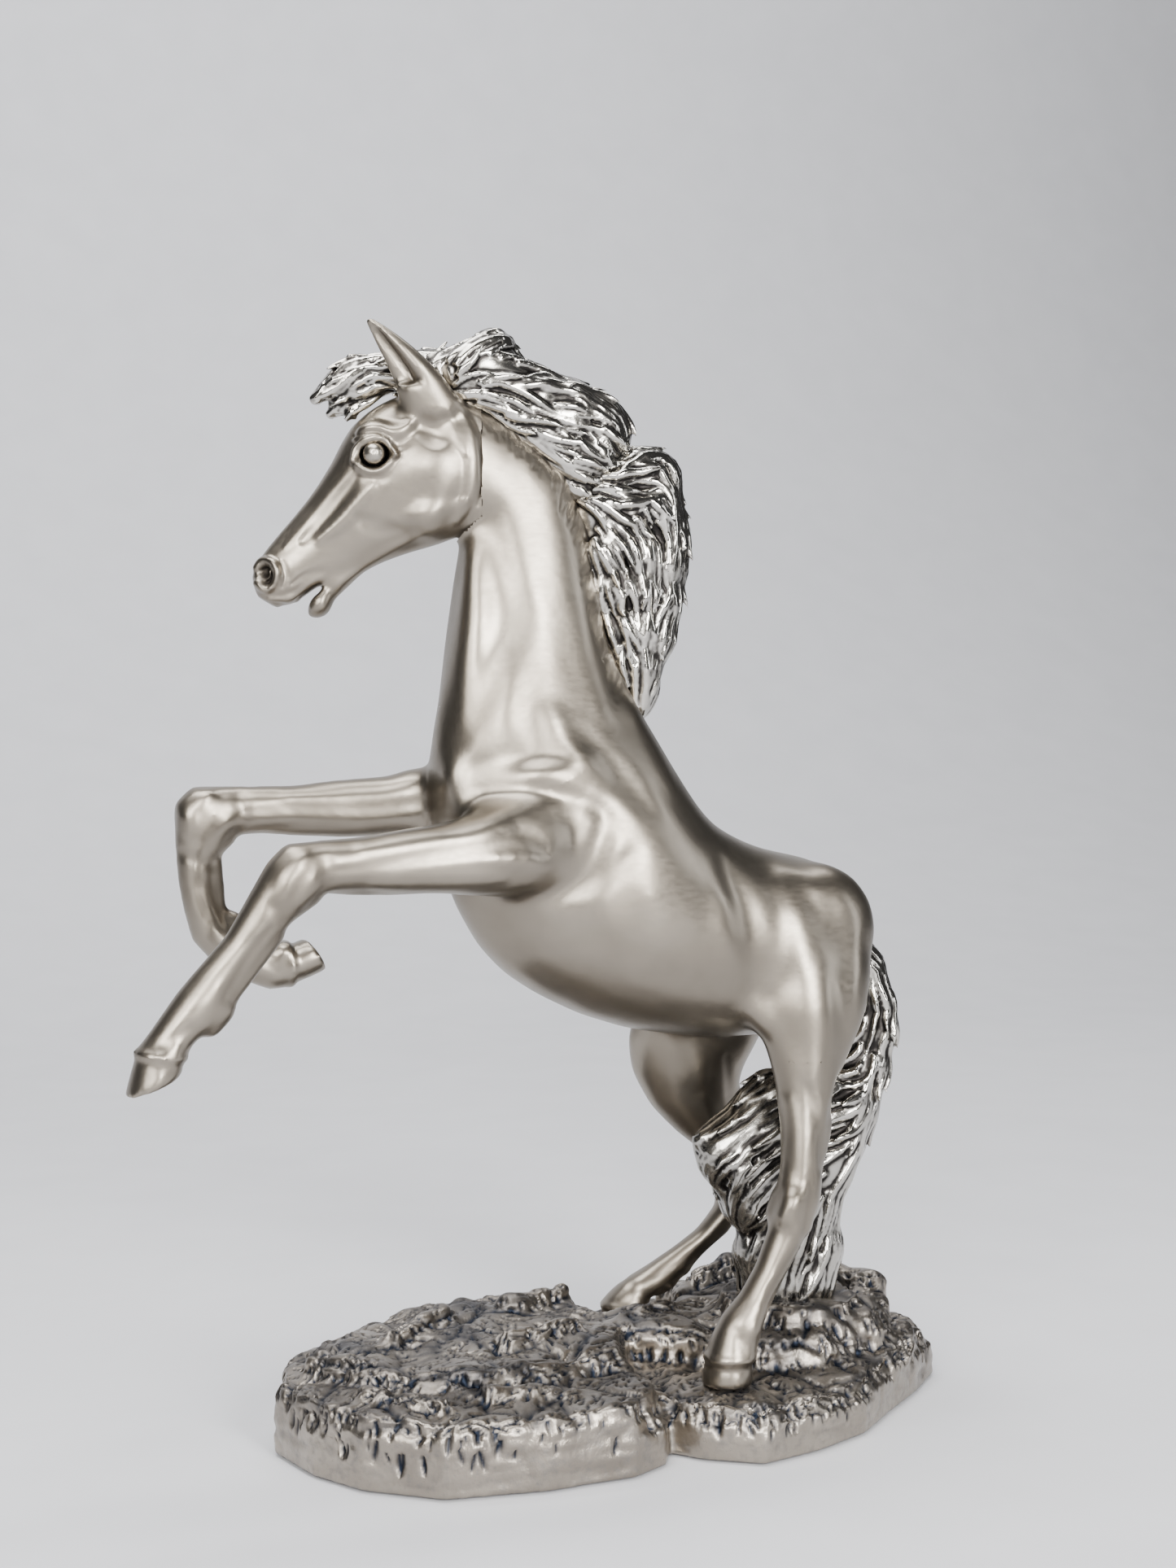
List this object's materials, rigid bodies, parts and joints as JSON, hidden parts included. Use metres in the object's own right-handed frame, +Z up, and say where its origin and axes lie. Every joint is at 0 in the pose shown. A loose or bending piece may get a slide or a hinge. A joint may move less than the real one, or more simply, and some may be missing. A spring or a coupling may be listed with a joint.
{
  "type": "rearing horse statuette",
  "caption": "Rearing horse on a rough oval rock base, satin silver body with bright mane and tail, built from doweled castings bolted to the base.",
  "frame": {"origin": "middle of the felt underside, on the surface that the statuette stands on", "axes": "+Z up from the table, -X the way the horse faces, -Y the horse's left side"},
  "size_m": [0.322, 0.15, 0.399],
  "materials": {
    "satin_silver": "satin, warm silvered bronze",
    "bright_silver": "polished, oxidised in the grooves",
    "eye_metal": "polished over dark oxide",
    "patinated_rock": "silvered, blue-black patina in the tooling",
    "plain_steel": "plain",
    "felt": "wool felt"
  },
  "bodies": {
    "root": {"body_casting": "satin_silver", "neck_casting": "satin_silver", "head_casting": "satin_silver", "left_eye": "eye_metal", "right_eye": "eye_metal", "left_foreleg": "satin_silver", "right_foreleg": "satin_silver", "left_hindleg": "satin_silver", "right_hindleg": "satin_silver", "left_fore_hoof": "satin_silver", "right_fore_hoof": "satin_silver", "left_hind_hoof": "satin_silver", "right_hind_hoof": "satin_silver", "forelock": "bright_silver", "upper_mane": "bright_silver", "lower_mane": "bright_silver", "tail": "bright_silver", "rock_base": "patinated_rock", "base_plate": "plain_steel", "felt_pad": "felt", "plate_screws": "plain_steel", "left_hind_stud": "plain_steel", "right_hind_stud": "plain_steel", "tail_stud": "plain_steel", "stud_washers": "plain_steel", "stud_nuts": "plain_steel", "neck_dowels": "plain_steel", "head_dowels": "plain_steel", "foreleg_dowels": "plain_steel", "hindleg_dowels": "plain_steel", "hoof_pins": "plain_steel", "mane_pins": "plain_steel"}
  },
  "joints": []
}
